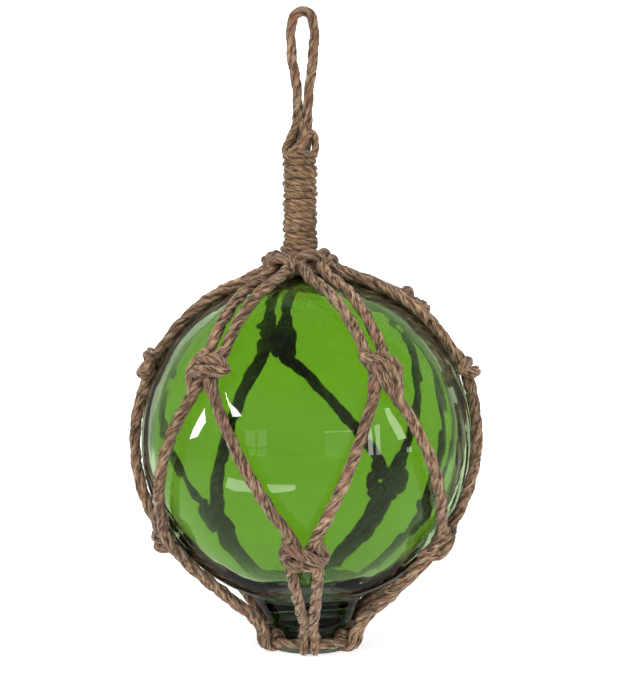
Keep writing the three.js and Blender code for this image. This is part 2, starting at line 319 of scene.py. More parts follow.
# A three-strand rope along points. hairs and lay are shares of what ropeMake and hairMake say.
def addRope(parts, points, rng, radius=ropeMake["radius"], taper=None, closed=False, hairs=1.0, lay=1.0):
    line = smoothLine(points, ropeMake["step"], closed)
    lengths = runLengths(line)
    full = np.full(len(line), radius)
    if taper is not None:
        full = full * np.interp(np.linspace(0, 1, len(line)), np.linspace(0, 1, len(taper)), taper)
    full = full * (1 + ropeMake["radiusUneven"] * wander(lengths, ropeMake["radiusWave"], rng))
    _, n, b = carriedAxes(line)
    shift = rng.uniform(0, 2 * math.pi)
    turns = lengths / (ropeMake["lay"] * lay * (full.mean() / ropeMake["radius"])) * 2 * math.pi
    turns = turns + ropeMake["layUneven"] * wander(lengths, ropeMake["layWave"], rng)
    for strand in range(3):
        phi = turns + shift + strand * 2 * math.pi / 3
        out = np.cos(phi)[:, None] * n + np.sin(phi)[:, None] * b
        middle = line + out * (full * ropeMake["strandOut"])[:, None]
        addStrand(parts, middle, full, out, rng, shift + strand)
    addHairs(parts, line, full, rng, hairMake["spacing"] / hairs)


def nodeTree(material):
    material.use_nodes = True
    tree = material.node_tree
    tree.nodes.clear()
    output = tree.nodes.new("ShaderNodeOutputMaterial")
    shader = tree.nodes.new("ShaderNodeBsdfPrincipled")
    tree.links.new(shader.outputs["BSDF"], output.inputs["Surface"])
    return tree, shader


def addNode(tree, kind, **settings):
    node = tree.nodes.new("ShaderNode" + kind)
    for name, value in settings.items():
        setattr(node, name, value)
    return node


def setInput(tree, node, key, value):
    if isinstance(value, bpy.types.NodeSocket):
        tree.links.new(value, node.inputs[key])
    else:
        node.inputs[key].default_value = value


def noise(tree, vector, scale, detail=2.0, rough=0.5):
    node = addNode(tree, "TexNoise")
    setInput(tree, node, "Vector", vector)
    setInput(tree, node, "Scale", scale)
    setInput(tree, node, "Detail", detail)
    setInput(tree, node, "Roughness", rough)
    return node.outputs["Fac"]


def ramp(tree, value, low, high, outLow=0.0, outHigh=1.0):
    node = addNode(tree, "MapRange")
    wanted = {"Value": value, "From Min": low, "From Max": high, "To Min": outLow, "To Max": outHigh}
    for key, item in wanted.items():
        setInput(tree, node, key, item)
    return node.outputs["Result"]


def mixColour(tree, factor, first, second):
    node = addNode(tree, "Mix", data_type="RGBA")
    for key, value in ((0, factor), (6, first), (7, second)):
        setInput(tree, node, key, value)
    return node.outputs[2]


def mixValue(tree, factor, first, second):
    node = addNode(tree, "Mix", data_type="FLOAT")
    for key, value in ((0, factor), (2, first), (3, second)):
        setInput(tree, node, key, value)
    return node.outputs[0]


def maths(tree, operation, a, b=0.0):
    node = addNode(tree, "Math", operation=operation)
    setInput(tree, node, 0, a)
    setInput(tree, node, 1, b)
    return node.outputs[0]


def stretched(tree, vector, scale):
    node = addNode(tree, "Mapping")
    setInput(tree, node, "Vector", vector)
    setInput(tree, node, "Scale", scale)
    return node.outputs["Vector"]


# The share of a ray that the glass mirrors: a ray let through it counts as glossy too.
def mirroredShare(tree, path):
    straight = maths(tree, "SUBTRACT", 1.0, path.outputs["Is Transmission Ray"])
    return maths(tree, "MULTIPLY", path.outputs["Is Glossy Ray"], straight)


# Each range is from low to high, and where it has four values, to what the last two say.
fibreMake = {
    "fineStretch": (19, 3.6, 1),
    "coarseStretch": (8, 2.2, 1),
    "patchScale": 160.0,
    "broadScale": 30.0,
    "pale": (0.42, 0.58),
    "patch": (0.5, 0.68, 0.0, 0.65),
    "broadShade": (0.3, 0.7, 0.72, 1.2),
    # gapShade is painted shade: darker where a strand turns in towards the next one.
    "gapShade": (-0.5, 0.6, 0.38, 1.0),
    "rough": (0.3, 0.7, 0.95, 0.72),
    "inputs": {"Run": "Vector", "Pale": "Color", "Dark": "Color", "Warm": "Color", "Outward": "Float"},
    "outputs": {"Colour": "Color", "Roughness": "Float", "Height": "Float"},
}


def shaded(tree, colour, value):
    node = addNode(tree, "HueSaturation")
    setInput(tree, node, "Value", value)
    setInput(tree, node, "Color", colour)
    return node.outputs["Color"]


# Fibres that run along a strand: pale and dark hairs, warm patches, and painted shade in the gaps between
# strands.
def makeFibreGroup():
    group = bpy.data.node_groups.new("juteFibre", "ShaderNodeTree")
    face = group.interface
    for name, kind in fibreMake["inputs"].items():
        face.new_socket(name, in_out="INPUT", socket_type="NodeSocket" + kind)
    for name, kind in fibreMake["outputs"].items():
        face.new_socket(name, in_out="OUTPUT", socket_type="NodeSocket" + kind)
    source = group.nodes.new("NodeGroupInput")
    sink = group.nodes.new("NodeGroupOutput")
    run = source.outputs["Run"]
    place = addNode(group, "TexCoord").outputs["Object"]
    fine = noise(group, stretched(group, run, fibreMake["fineStretch"]), 1.0, 2.0, 0.6)
    coarse = noise(group, stretched(group, run, fibreMake["coarseStretch"]), 1.0, 1.0)
    patch = noise(group, place, fibreMake["patchScale"])
    broad = noise(group, place, fibreMake["broadScale"], 1.0)
    fibre = maths(group, "ADD", maths(group, "MULTIPLY", fine, 0.5), maths(group, "MULTIPLY", coarse, 0.5))
    pale = ramp(group, fibre, *fibreMake["pale"])
    colour = mixColour(group, pale, source.outputs["Dark"], source.outputs["Pale"])
    colour = mixColour(group, ramp(group, patch, *fibreMake["patch"]), colour, source.outputs["Warm"])
    colour = shaded(group, colour, ramp(group, broad, *fibreMake["broadShade"]))
    # Painted shade: the colour darkens where a strand's surface turns in towards its neighbours.
    colour = shaded(group, colour, ramp(group, source.outputs["Outward"], *fibreMake["gapShade"]))
    group.links.new(colour, sink.inputs["Colour"])
    group.links.new(ramp(group, fine, *fibreMake["rough"]), sink.inputs["Roughness"])
    group.links.new(fibre, sink.inputs["Height"])
    return group


fibreGroup = makeFibreGroup()

juteFinish = {"pale": (0.5, 0.335, 0.205, 1), "dark": (0.06, 0.032, 0.018, 1), "warm": (0.3, 0.135, 0.085, 1)}
yarnFinish = {"pale": (0.48, 0.31, 0.175, 1), "dark": (0.08, 0.043, 0.021, 1), "warm": (0.33, 0.17, 0.09, 1)}
juteSurface = {"Specular IOR Level": 0.25, "Sheen Weight": 0.25, "Sheen Roughness": 0.45}
fibreRelief = 0.6 * mm


def makeJute(name, finish):
    material = bpy.data.materials.new(name)
    tree, shader = nodeTree(material)
    fibres = addNode(tree, "Group")
    fibres.node_tree = fibreGroup
    run = addNode(tree, "UVMap", uv_map="ropeRun").outputs["UV"]
    outward = addNode(tree, "Attribute", attribute_name="outward").outputs["Fac"]
    wanted = {"Run": run, "Outward": outward, "Pale": finish["pale"], "Dark": finish["dark"],
              "Warm": finish["warm"]}
    for key, value in wanted.items():
        setInput(tree, fibres, key, value)
    bump = addNode(tree, "Bump")
    setInput(tree, bump, "Strength", 1.0)
    setInput(tree, bump, "Distance", fibreRelief)
    setInput(tree, bump, "Height", fibres.outputs["Height"])
    setInput(tree, shader, "Base Color", fibres.outputs["Colour"])
    setInput(tree, shader, "Roughness", fibres.outputs["Roughness"])
    setInput(tree, shader, "Normal", bump.outputs["Normal"])
    for key, value in juteSurface.items():
        shader.inputs[key].default_value = value
    return material


jute = makeJute("dryJute", juteFinish)
juteYarn = makeJute("woundJuteYarn", yarnFinish)

glassFinish = {
    "clear": {"colour": (0.5, 0.7, 0.38, 1), "waves": 0.3},
    "green": {"colour": (0.2, 0.375, 0.022, 1), "waves": 0.5},
    # The foot's near-black tint is painted shade, for how dark the thick foot looks.
    "foot": {"colour": (0.018, 0.026, 0.018, 1), "waves": 0.2},
    "ior": 1.5,
    "drawn": (34, 34, 9),  # the waves are long up and down, and narrow across
    "waveHeight": 1.2 * mm,
    "tintScale": 30.0,
    "tintShade": 0.97,
}


# Clear glass with faint waves drawn down it, as blown glass has.
def makeGlass(name, kind):
    colour = glassFinish[kind]["colour"]
    material = bpy.data.materials.new(name)
    tree, shader = nodeTree(material)
    place = addNode(tree, "TexCoord").outputs["Object"]
    drawn = noise(tree, stretched(tree, place, glassFinish["drawn"]), 1.0)
    bump = addNode(tree, "Bump")
    setInput(tree, bump, "Strength", glassFinish[kind]["waves"])
    setInput(tree, bump, "Distance", glassFinish["waveHeight"])
    setInput(tree, bump, "Height", drawn)
    tint = ramp(tree, noise(tree, place, glassFinish["tintScale"], 1.0), 0.3, 0.7)
    darker = tuple(c * glassFinish["tintShade"] for c in colour[:3]) + (1,)
    setInput(tree, shader, "Base Color", mixColour(tree, tint, colour, darker))
    setInput(tree, shader, "Normal", bump.outputs["Normal"])
    shader.inputs["Roughness"].default_value = 0.0
    shader.inputs["IOR"].default_value = glassFinish["ior"]
    shader.inputs["Metallic"].default_value = 0.0
    shader.inputs["Transmission Weight"].default_value = 1.0
    return material


glasses = [makeGlass("clearBlownGlass", "clear"), makeGlass("greenInnerGlass", "green"),
           makeGlass("footGlassPaintedShade", "foot")]
print("materials made")


floatMake = {
    "wall": 6.2 * mm,
    "footRadius": 24 * mm,
    "waistRadius": 19.5 * mm,
    "footTop": 25 * mm,
    # The foot stands on the origin's axis. From leanBelow under its top it leans over to the ball's.
    "leanBelow": 14 * mm,
    "leanHeight": 22 * mm,
    "flareAt": math.radians(159),  # down from the ball's top
    "flareBlend": 0.06,
    "rounds": 160,
    "rows": 110,
    "outline": 0.8 * mm,  # step along the foot's outline
    "hollowFlat": 0.035,
    "unevenSkin": 0.12 * mm,
    "unevenWall": 0.7 * mm,
    "waves": 9,
    "waveRate": (18, 60),  # radians a metre
    "calmFoot": 10 * mm,  # the waves start this far above the foot, and are full calmFade higher
    "calmFade": 20 * mm,
    "paintedShadeFrom": -1 * mm,  # heights between which the foot's thick glass is tinted near black: painted shade
    "paintedShadeTo": 33 * mm,
}


def turnedMesh(outline, rounds, centre, wobble):
    angles = np.arange(rounds) * 2 * math.pi / rounds
    rings = np.array([[[r * math.sin(a), -r * math.cos(a), z] for a in angles] for r, z in outline[1:-1]])
    verts = np.vstack([rings.reshape(-1, 3), [[0, 0, outline[0][1]], [0, 0, outline[-1][1]]]]) + centre
    index = np.arange(len(rings) * rounds).reshape(len(rings), rounds)
    a, b = index[:-1], index[1:]
    faces = np.stack([a, np.roll(a, -1, 1), np.roll(b, -1, 1), b], axis=-1).reshape(-1, 4).tolist()
    low, high = len(verts) - 2, len(verts) - 1
    for j in range(rounds):
        k = (j + 1) % rounds
        faces.append([int(index[0, k]), int(index[0, j]), low])
        faces.append([int(index[-1, j]), int(index[-1, k]), high])
    return wobble(verts), faces


def footShift(verts):
    z = verts[:, 2]
    t = np.clip((z - (floatMake["footTop"] - floatMake["leanBelow"])) / floatMake["leanHeight"], 0, 1)
    fade = 1 - t * t * (3 - 2 * t)
    verts = verts.copy()
    verts[:, 0] -= ballCentre[0] * fade
    return verts


def outerOutline():
    base = ballCentre[2]
    foot, waist = floatMake["footRadius"], floatMake["waistRadius"]
    corners = [(0, 0), (foot - 5 * mm, 0), (foot - 0.8 * mm, 0.1 * mm), (foot - 0.2 * mm, 0.7 * mm),
               (foot - 1.6 * mm, 1.7 * mm), (waist + 0.6 * mm, 3.4 * mm), (waist - 0.2 * mm, 6 * mm),
               (waist + 0.2 * mm, 9 * mm), (foot - 1.9 * mm, 12.5 * mm), (foot + 1.6 * mm, 17 * mm),
               (foot + 5.4 * mm, floatMake["footTop"])]
    start = floatMake["flareAt"]
    points = [(r, z - base) for r, z in corners]
    top = start - floatMake["flareBlend"]
    points.append((ballRadius * math.sin(start), ballRadius * math.cos(start)))
    points.append((ballRadius * math.sin(top), ballRadius * math.cos(top)))
    line = smoothLine([(r, 0, z) for r, z in points[1:]], floatMake["outline"])
    outline = [(0.0, -base)] + [(r, z) for r, _, z in line]
    rows = floatMake["rows"]
    for row in range(1, rows):
        polar = top * (1 - row / rows)
        outline.append((ballRadius * math.sin(polar), ballRadius * math.cos(polar)))
    return outline + [(0.0, ballRadius)]


# The hollow, flattened over the foot.
def innerOutline():
    inner = ballRadius - floatMake["wall"]
    rows = floatMake["rows"]
    outline = []
    for row in range(rows + 1):
        polar = math.pi * (1 - row / rows)
        flat = 1 - floatMake["hollowFlat"] * max(0.0, -math.cos(polar)) ** 6
        outline.append((inner * math.sin(polar), inner * math.cos(polar) * flat))
    outline[0] = (0.0, outline[0][1])
    outline[-1] = (0.0, outline[-1][1])
    return outline


# Moves the glass in and out by slow, even waves, less and less down to the foot.
def waveOut(verts, size, seed):
    rng = random.Random(seed)
    away = verts - ballCentre
    radius = np.linalg.norm(away, axis=1)
    total = np.zeros(len(verts))
    for _ in range(floatMake["waves"]):
        heading = unit(np.array([rng.gauss(0, 1), rng.gauss(0, 1), rng.gauss(0, 0.5)]))
        total += np.sin((away @ heading) * rng.uniform(*floatMake["waveRate"]) + rng.uniform(0, 6.28))
    fade = np.clip((verts[:, 2] - floatMake["footTop"] - floatMake["calmFoot"]) / floatMake["calmFade"], 0, 1)
    return verts + (away / radius[:, None]) * (size * total / 5 * fade)[:, None]


def makeFloat():
    outer, outerFaces = turnedMesh(outerOutline(), floatMake["rounds"], ballCentre,
                                   lambda v: footShift(waveOut(v, floatMake["unevenSkin"], 3)))
    inner, innerFaces = turnedMesh(innerOutline(), floatMake["rounds"], ballCentre,
                                   lambda v: waveOut(v, floatMake["unevenWall"], 11))
    innerFaces = [[i + len(outer) for i in reversed(face)] for face in innerFaces]
    mesh = bpy.data.meshes.new("glassFloat")
    mesh.from_pydata(np.vstack([outer, inner]).tolist(), [], outerFaces + innerFaces)
    for glass in glasses:
        mesh.materials.append(glass)
    slots = [0] * len(outerFaces) + [1] * len(innerFaces)
    # Outer faces at the foot's heights take the near-black glass: painted shade.
    for i, face in enumerate(outerFaces):
        height = outer[face[0]][2]
        if floatMake["paintedShadeFrom"] < height < floatMake["paintedShadeTo"]:
            slots[i] = 2
    mesh.polygons.foreach_set("material_index", slots)
    mesh.polygons.foreach_set("use_smooth", [True] * len(mesh.polygons))
    mesh.update()
    piece = bpy.data.objects.new("glassFloat", mesh)
    bpy.context.scene.collection.objects.link(piece)
    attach(piece, "root")
    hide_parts("glass_float")


makeFloat()
print("glass float made")


netMake = {
    "lift": 3.8 * mm,  # rope's middle above the glass
    # Across and up from a knot's middle, in millimetres: where ropes come to it, and where they end inside.
    "crownSpread": 5.0,
    "knotSpread": 7.0,
    "staySpread": 4.0,
    "frontStaySpread": 7.6,
    "reach": 12.0,
    "tuckAcross": 3,
    "tuckUp": 2,
    "backThicker": 1.12,
    "pairAngle": math.radians(13),
    "rootAngle": math.radians(8),
    "skirtRadius": 27 * mm,
    "browRadius": 15 * mm,
    "rootRadius": 8.5 * mm,
    "ringRadius": 26.2 * mm,
    "hitchAngle": math.radians(5.4),
    "meetAngle": math.radians(3.8),
    "leavePolar": math.radians(137),
    "offGlass": 0.3 * mm,
    "meetOut": 10 * mm,
    "meetUp": 13 * mm,
    "meetShare": 0.35,
    # A stay's turn over the ring: out from the ring and up from it, in millimetres.
    "hitchTurn": ((6.2, 5.2), (5.9, 0.2), (3.4, -3.4), (-1.5, -4.2), (-4.6, -1.8), (-5.0, 2.5), (-2.0, 5.4),
                  (2.2, 5.2)),
    "hitchDrift": 0.5,  # degrees round the ring from each point to the next
    "stayTaper": [1, 1, 1, 1, 1, 1, 0.95, 0.72, 0.6, 0.75],
}
pairSides = (-1, 1)
firstNeckAzimuth = azimuthOf(boxMiddle("upper_knot_1"), ballCentre)
firstRingAzimuth = azimuthOf(boxMiddle("lower_knot_1"), ballCentre)


def neckAzimuth(index):
    return firstNeckAzimuth + index * pairStep


def ringAzimuth(index):
    return firstRingAzimuth + index * pairStep


# Points on the way from one to another over the ball.
def alongBall(start, end, steps):
    a, b = unit(start - ballCentre), unit(end - ballCentre)
    angle = math.acos(float(np.clip(a @ b, -1, 1)))
    points = []
    for i in range(steps - 1):
        share = (i + 1) / steps
        way = a * math.sin((1 - share) * angle) + b * math.sin(share * angle)
        points.append(overGlass(way, netMake["lift"]))
    return points


# From inside the neck's ring out over the glass and down to an upper knot.
def crownPoints(index, side):
    place = upperPlaces[index]
    lift = netMake["lift"] / mm
    azimuth = neckAzimuth(index)
    height = neckMiddle[2]
    exit = around(neckMiddle, azimuth + side * netMake["pairAngle"], netMake["skirtRadius"], 0) - ballCentre
    exit[2] = math.sqrt(ballRadius**2 - exit[0]**2 - exit[1]**2)
    skirt = overGlass(exit, netMake["lift"] + netMake["offGlass"])
    entry = atKnot(place, side * netMake["crownSpread"], netMake["reach"], lift)
    middle = atKnot(place, side * netMake["tuckAcross"], netMake["tuckUp"], lift)
    spread = azimuth + side * (netMake["pairAngle"] + netMake["rootAngle"])
    brow = around(neckMiddle, spread, netMake["browRadius"], height - 0.4 * mm)
    root = around(neckMiddle, spread, netMake["rootRadius"], height + 3.6 * mm)
    return [root, brow, skirt, *alongBall(skirt, entry, 3), entry, middle]


# From an upper knot down to the lower knot on its left or right.
def meshPoints(index, side):
    lower = lowerPlaces[(index + (0 if side > 0 else -1)) % pairCount]
    upper = upperPlaces[index]
    lift = netMake["lift"] / mm
    spread, reach = netMake["knotSpread"], netMake["reach"]
    start = atKnot(upper, side * netMake["tuckAcross"], -netMake["tuckUp"], lift)
    exit = atKnot(upper, side * spread, -reach, lift)
    entry = atKnot(lower, -side * spread, reach, lift)
    end = atKnot(lower, -side * netMake["tuckAcross"], netMake["tuckUp"], lift)
    return [start, exit, *alongBall(exit, entry, 5), entry, end]


# From a lower knot down the ball, off it in a straight line, and over the ring round the foot.
def stayPoints(index, side):
    place = lowerPlaces[index]
    lift = netMake["lift"] / mm
    target = ringAzimuth(index) + side * netMake["hitchAngle"]
    start = atKnot(place, side * netMake["tuckAcross"], -netMake["tuckUp"], lift)
    spread = netMake["frontStaySpread"] if index == 0 else netMake["staySpread"]
    exit = atKnot(place, side * spread, -netMake["reach"], lift)
    meeting = ringAzimuth(index) + side * netMake["meetAngle"]
    near = around(ringMiddle, meeting, netMake["ringRadius"] + netMake["meetOut"],
                  ringMiddle[2] + netMake["meetUp"])
    flat = (exit - ballCentre) * (1 - netMake["meetShare"]) + (near - ballCentre) * netMake["meetShare"]
    flat[2] = 0
    flat = unit(flat) * math.sin(netMake["leavePolar"])
    flat[2] = math.cos(netMake["leavePolar"])
    leave = overGlass(flat, netMake["lift"] + netMake["offGlass"])
    over = []
    for i, (out, rise) in enumerate(netMake["hitchTurn"]):
        azimuth = target + side * math.radians(netMake["hitchDrift"] * i)
        over.append(around(ringMiddle, azimuth, netMake["ringRadius"] + out * mm, ringMiddle[2] + rise * mm))
    return [start, exit, *alongBall(exit, leave, 3), leave, (leave + near) / 2, near, *over]


def makeNetRope(kind, node, pointsOf, taper=None):
    for index in range(pairCount):
        for letter, side in zip("ab", pairSides):
            rng = random.Random(f"{kind}{index}{letter}")
            parts = MeshParts()
            thick = netMake["backThicker"] if index in backPairs else 1.0
            addRope(parts, pointsOf(index, side), rng, radius=ropeMake["radius"] * thick, taper=taper)
            piece = parts.build(f"{kind}{index + 1}{letter}", jute)
            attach(piece, "root")
            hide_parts(f"{node}_{index + 1}_{letter}")


makeNetRope("crownRope", "crown_rope", crownPoints)
makeNetRope("meshRope", "mesh_rope", meshPoints)
makeNetRope("stayRope", "stay_rope", stayPoints, netMake["stayTaper"])
print("net ropes made")


# Each style lists the turns that show, in millimetres across, up and out of the glass.
knotStyles = {
    "standingTurn": [
        [(-4.5, 13, 3.8), (-8, 8.5, 5.2), (-10, 3, 6.4), (-10.2, -4, 6.2), (-8.6, -10, 4.6),
         (-7.2, -14, 3.7)],
        [(-8.5, -3, 3.4), (-7, -2, 7.2), (-2, -1.8, 9.6), (4, -1.4, 9.8), (9.2, -0.8, 7.6), (10.6, 1.6, 4.6),
         (8, 4, 3.2)],
        [(10.2, 1.2, 4.6), (8.6, 4.6, 7), (3, 5, 8.4), (-3, 4.6, 7.6), (-7.6, 4.4, 4.2)],
        [(5, 13, 3.8), (3.6, 8.4, 5.6), (1.6, 4, 5.2), (1.5, -4, 4.4), (3.8, -9, 4.4), (7, -13, 3.6)],
    ],
    "slantTurn": [
        [(-6.5, 13, 3.8), (-8, 8.6, 5.4), (-3.6, 6.4, 7.6), (0.6, 3.2, 9.6), (3.6, -2.4, 10), (6, -7.4, 7.6),
         (5.4, -10.4, 4.2)],
        [(-5.6, 6.6, 4), (-5.2, 2.4, 7.8), (-2.4, -3, 9), (1.2, -7.8, 7.8), (3.4, -10.4, 4.4)],
        [(3, 13, 4), (3.6, 8.6, 6.4), (7.6, 4.8, 6.8), (9.6, 0.4, 6.4), (8.6, -4.4, 5), (9, -9, 4),
         (8, -13, 3.6)],
        [(-3, 1, 4), (-6, -4.4, 5.4), (-6.6, -9, 4.6), (-7.2, -13.4, 3.6)],
    ],
    "crossedTurns": [
        [(-8, 13, 3.8), (-9.4, 8, 5), (-5.6, 6.2, 8.2), (0, 3.6, 10), (5.4, 0.4, 9.8), (9.8, -1.8, 6.6),
         (9, -4, 3.6)],
        [(-9.4, -2.6, 3.6), (-10, -5.2, 6.2), (-4.4, -6.2, 8.6), (2.4, -5.8, 9.2), (8.4, -5.4, 7.8),
         (11, -3, 5), (8.6, 1.6, 3.6)],
        [(8, 13, 3.8), (6.8, 8.4, 5.2), (9.2, 4.4, 6.2), (11, 0.4, 5.6), (10, -2.8, 4)],
        [(-5.6, 2.6, 4.4), (-10, 2.4, 5.8), (-10.4, -1.2, 5.2), (-7.6, -3.2, 4)],
        [(-0.6, 0.6, 6.4), (-1, -2.8, 8.2), (-1.4, -5.6, 6.8), (-5.6, -9.4, 4.2), (-7.4, -13.4, 3.6)],
        [(1.4, -3, 5), (4.6, -8.6, 4.6), (7, -13.4, 3.6)],
    ],
}
knotMake = {
    # each knot's style, and -1 where it is tied the other way round
    "upper": [("standingTurn", 1), ("slantTurn", 1), ("standingTurn", -1), ("crossedTurns", 1),
              ("slantTurn", -1), ("crossedTurns", -1)],
    "lower": [("crossedTurns", 1), ("slantTurn", -1), ("standingTurn", 1), ("crossedTurns", -1),
              ("slantTurn", 1), ("standingTurn", -1)],
    "squat": {"upper": 1.02, "lower": 0.84},
    "rise": {"upper": 0.4, "lower": 1.8},  # millimetres
    "ropeScale": 0.97,
    "backSize": 1.14,
    "lay": 0.85,
}


def makeKnots(row, places):
    squat, rise = knotMake["squat"][row], knotMake["rise"][row]
    for index, (style, flip) in enumerate(knotMake[row]):
        rng = random.Random(f"{row}{index}")
        parts = MeshParts()
        size = knotMake["backSize"] if index in backPairs else 1.0
        radius = ropeMake["radius"] * knotMake["ropeScale"] * size
        for turn in knotStyles[style]:
            points = [atKnot(places[index], flip * size * x, size * y * squat + rise, z) for x, y, z in turn]
            addRope(parts, points, rng, radius=radius, lay=knotMake["lay"])
        piece = parts.build(f"{row}Knot{index + 1}", jute)
        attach(piece, "root")
        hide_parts(f"{row}_knot_{index + 1}")


makeKnots("upper", upperPlaces)
makeKnots("lower", lowerPlaces)
print("knots made")


# The ring at the neck, over which the pairs of ropes are hitched.
neckMake = {
    "ringRadius": 9.6 * mm,
    "ringLift": 3.0 * mm,
    "lowRingRadius": 11.5 * mm,
    "lowRingLift": 4.2 * mm,
    "ringPoints": 12,
    "lowRingHairs": 0.4,
    "bandPoints": 10,
    "bandAngle": 0.08,
    "bandLean": 0.55,
    "bandTilt": 0.2,
    "bandSkew": 1.8,
    "bandShake": 0.4,
    "bandLay": 0.8,
    # For each pair of ropes its turns over the ring: out from the neck, up, half the width, half the depth
    # and the rope's radius, in millimetres.
    "bands": {
        "coil": ((12.4, -0.4, 8.2, 5.6, 2.3), (15.6, -1.8, 8.8, 5.8, 2.4), (18.8, -3.6, 8.8, 5.4, 2.3)),
        "hitch": ((12.8, 1.0, 8.4, 4.6, 3.1), (17.6, -2.4, 8.8, 4.4, 2.9)),
        "fold": ((10.6, 0.6, 7.2, 5.4, 2.6), (14.4, -1.2, 8.8, 5.6, 3.2)),
    },
    "pairs": ("coil", "fold", "hitch", "coil", "fold", "coil"),
}


def hitchBand(index, band, rng):
    out, rise, wide, deep, _ = band
    azimuth = neckAzimuth(index) + rng.uniform(-neckMake["bandAngle"], neckMake["bandAngle"])
    centre = around(neckMiddle, azimuth, out * mm, neckMiddle[2] + rise * mm)
    across = np.array([math.cos(azimuth), math.sin(azimuth), 0.0])
    lean = neckMake["bandLean"]
    slope = unit(np.array([math.sin(azimuth) * lean, -math.cos(azimuth) * lean, 1.0]))
    slope = unit(slope + across * rng.uniform(-neckMake["bandTilt"], neckMake["bandTilt"]))
    away = unit(np.cross(across, slope))
    skew = rng.uniform(-neckMake["bandSkew"], neckMake["bandSkew"])
    shake = neckMake["bandShake"]
    points = []
    for step in range(neckMake["bandPoints"]):
        a = step / neckMake["bandPoints"] * 2 * math.pi
        points.append(centre + across * math.cos(a) * wide * mm + slope * math.sin(a) * deep * mm
                      + away * (skew * math.cos(a) + rng.uniform(-shake, shake)) * mm)
    return points


def roundNeck(radius, height):
    count = neckMake["ringPoints"]
    return [around(neckMiddle, i * 2 * math.pi / count, radius, height) for i in range(count)]


def makeNeckRing():
    rng = random.Random("neckRing")
    parts = MeshParts()
    ring = roundNeck(neckMake["ringRadius"], neckMiddle[2] + neckMake["ringLift"])
    addRope(parts, ring, rng, closed=True)
    lowRing = roundNeck(neckMake["lowRingRadius"], ballCentre[2] + ballRadius + neckMake["lowRingLift"])
    addRope(parts, lowRing, rng, closed=True, hairs=neckMake["lowRingHairs"])
    for index, kind in enumerate(neckMake["pairs"]):
        for band in neckMake["bands"][kind]:
            points = hitchBand(index, band, rng)
            addRope(parts, points, rng, radius=band[-1] * mm, closed=True, lay=neckMake["bandLay"])
    piece = parts.build("neckRing", jute)
    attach(piece, "root")
    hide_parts("neck_ring")


makeNeckRing()

whippingMake = {
    "turns": 15.2,
    "turnPoints": 16,
    "startAngle": 2.2,
    "pitch": 3.95 * mm,
    "coreRadius": 8.1 * mm,
    "unevenRadius": 0.4 * mm,
    "flare": 1.9 * mm,  # the lowest turns stand out, over flareTurns
    "flareTurns": 1.6,
    "lineRadius": 2.35 * mm,
    "lay": 0.8,
    "startLow": 1.5 * mm,
    # The tucked ends: sideways and back from the neck's middle, and up from the origin, in millimetres.
    "ends": [
        [(-1.5, -3, 320), (-3, -3.6, 315), (-5.8, -3, 309), (-8.6, -2, 303), (-8.4, -4, 299),
         (-4, -7.6, 297)],
        [(-3, -8, 298), (-0.5, -7.6, 300), (2.4, -7, 305), (5, -5.8, 311), (7.6, -3.4, 311.4),
         (9.2, -2, 306), (8.6, -3.6, 300), (6, -6, 298)],
        [(-7, 4, 299), (-3, 6.6, 303), (3, 6.6, 306), (6, 4, 309), (2, 4, 311), (-3, 5.4, 308),
         (-6.4, 5, 303)],
        [(-0.5, -4.4, 318), (2.4, -5, 312), (1, -6, 306), (-3.4, -6.4, 302), (-6.6, -5, 299)],
    ],
}


def makeWhipping():
    rng = random.Random("whipping")
    parts = MeshParts()
    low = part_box("neck_whipping")[0].z - whippingMake["startLow"]
    perTurn = whippingMake["turnPoints"]
    points = []
    for i in range(int(whippingMake["turns"] * perTurn) + 1):
        turn = i / perTurn
        slip = 0.35 * mm * math.sin(turn * 2.3) + 0.45 * mm * math.sin(turn * 6.1 + 1)
        flare = whippingMake["flare"] * max(0.0, 1 - turn / whippingMake["flareTurns"])
        radius = whippingMake["coreRadius"] + whippingMake["unevenRadius"] * math.sin(turn * 4.4) + flare
        height = low + turn * whippingMake["pitch"] + slip
        points.append(around(neckMiddle, turn * 2 * math.pi + whippingMake["startAngle"], radius, height))
    ends = [[(neckMiddle[0] + x * mm, neckMiddle[1] + y * mm, z * mm) for x, y, z in end]
            for end in whippingMake["ends"]]
    for route in [points, *ends]:
        addRope(parts, route, rng, radius=whippingMake["lineRadius"], lay=whippingMake["lay"])
    piece = parts.build("neckWhipping", juteYarn)
    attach(piece, "root")
    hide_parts("neck_whipping")


makeWhipping()

loopMake = {
    "radius": 3.15 * mm,
    "backForth": 0.5 * mm,
    # Sideways from the neck's middle and up from the origin, in millimetres.
    "left": [(-3.4, 246), (-3.4, 296), (-2.2, 308), (-1.5, 318), (-1.5, 328), (-1.8, 337), (-3.1, 346.5),
             (-4.7, 356), (-5.4, 365), (-5.5, 373.5)],
    "top": [(-3.4, 381.2), (1.5, 384.6), (6.4, 381.4)],
    "right": [(8.6, 373), (8.2, 365), (7.6, 356), (6.6, 346.5), (5.4, 337), (4.6, 328), (4.4, 318),
              (3.9, 308), (3.4, 296), (3.4, 246)],
}


def makeLoop():
    rng = random.Random("hangingLoop")
    parts = MeshParts()
    route = loopMake["left"] + loopMake["top"] + loopMake["right"]
    points = [(neckMiddle[0] + x * mm, neckMiddle[1] + loopMake["backForth"] * math.sin(z / 9), z * mm)
              for x, z in route]
    addRope(parts, points, rng, radius=loopMake["radius"])
    piece = parts.build("hangingLoop", jute)
    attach(piece, "root")
    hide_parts("hanging_loop")


makeLoop()
print("neck and loop made")


ringMake = {"radius": 3.15 * mm, "uneven": 0.5 * mm, "rise": 0.4 * mm, "points": 24}


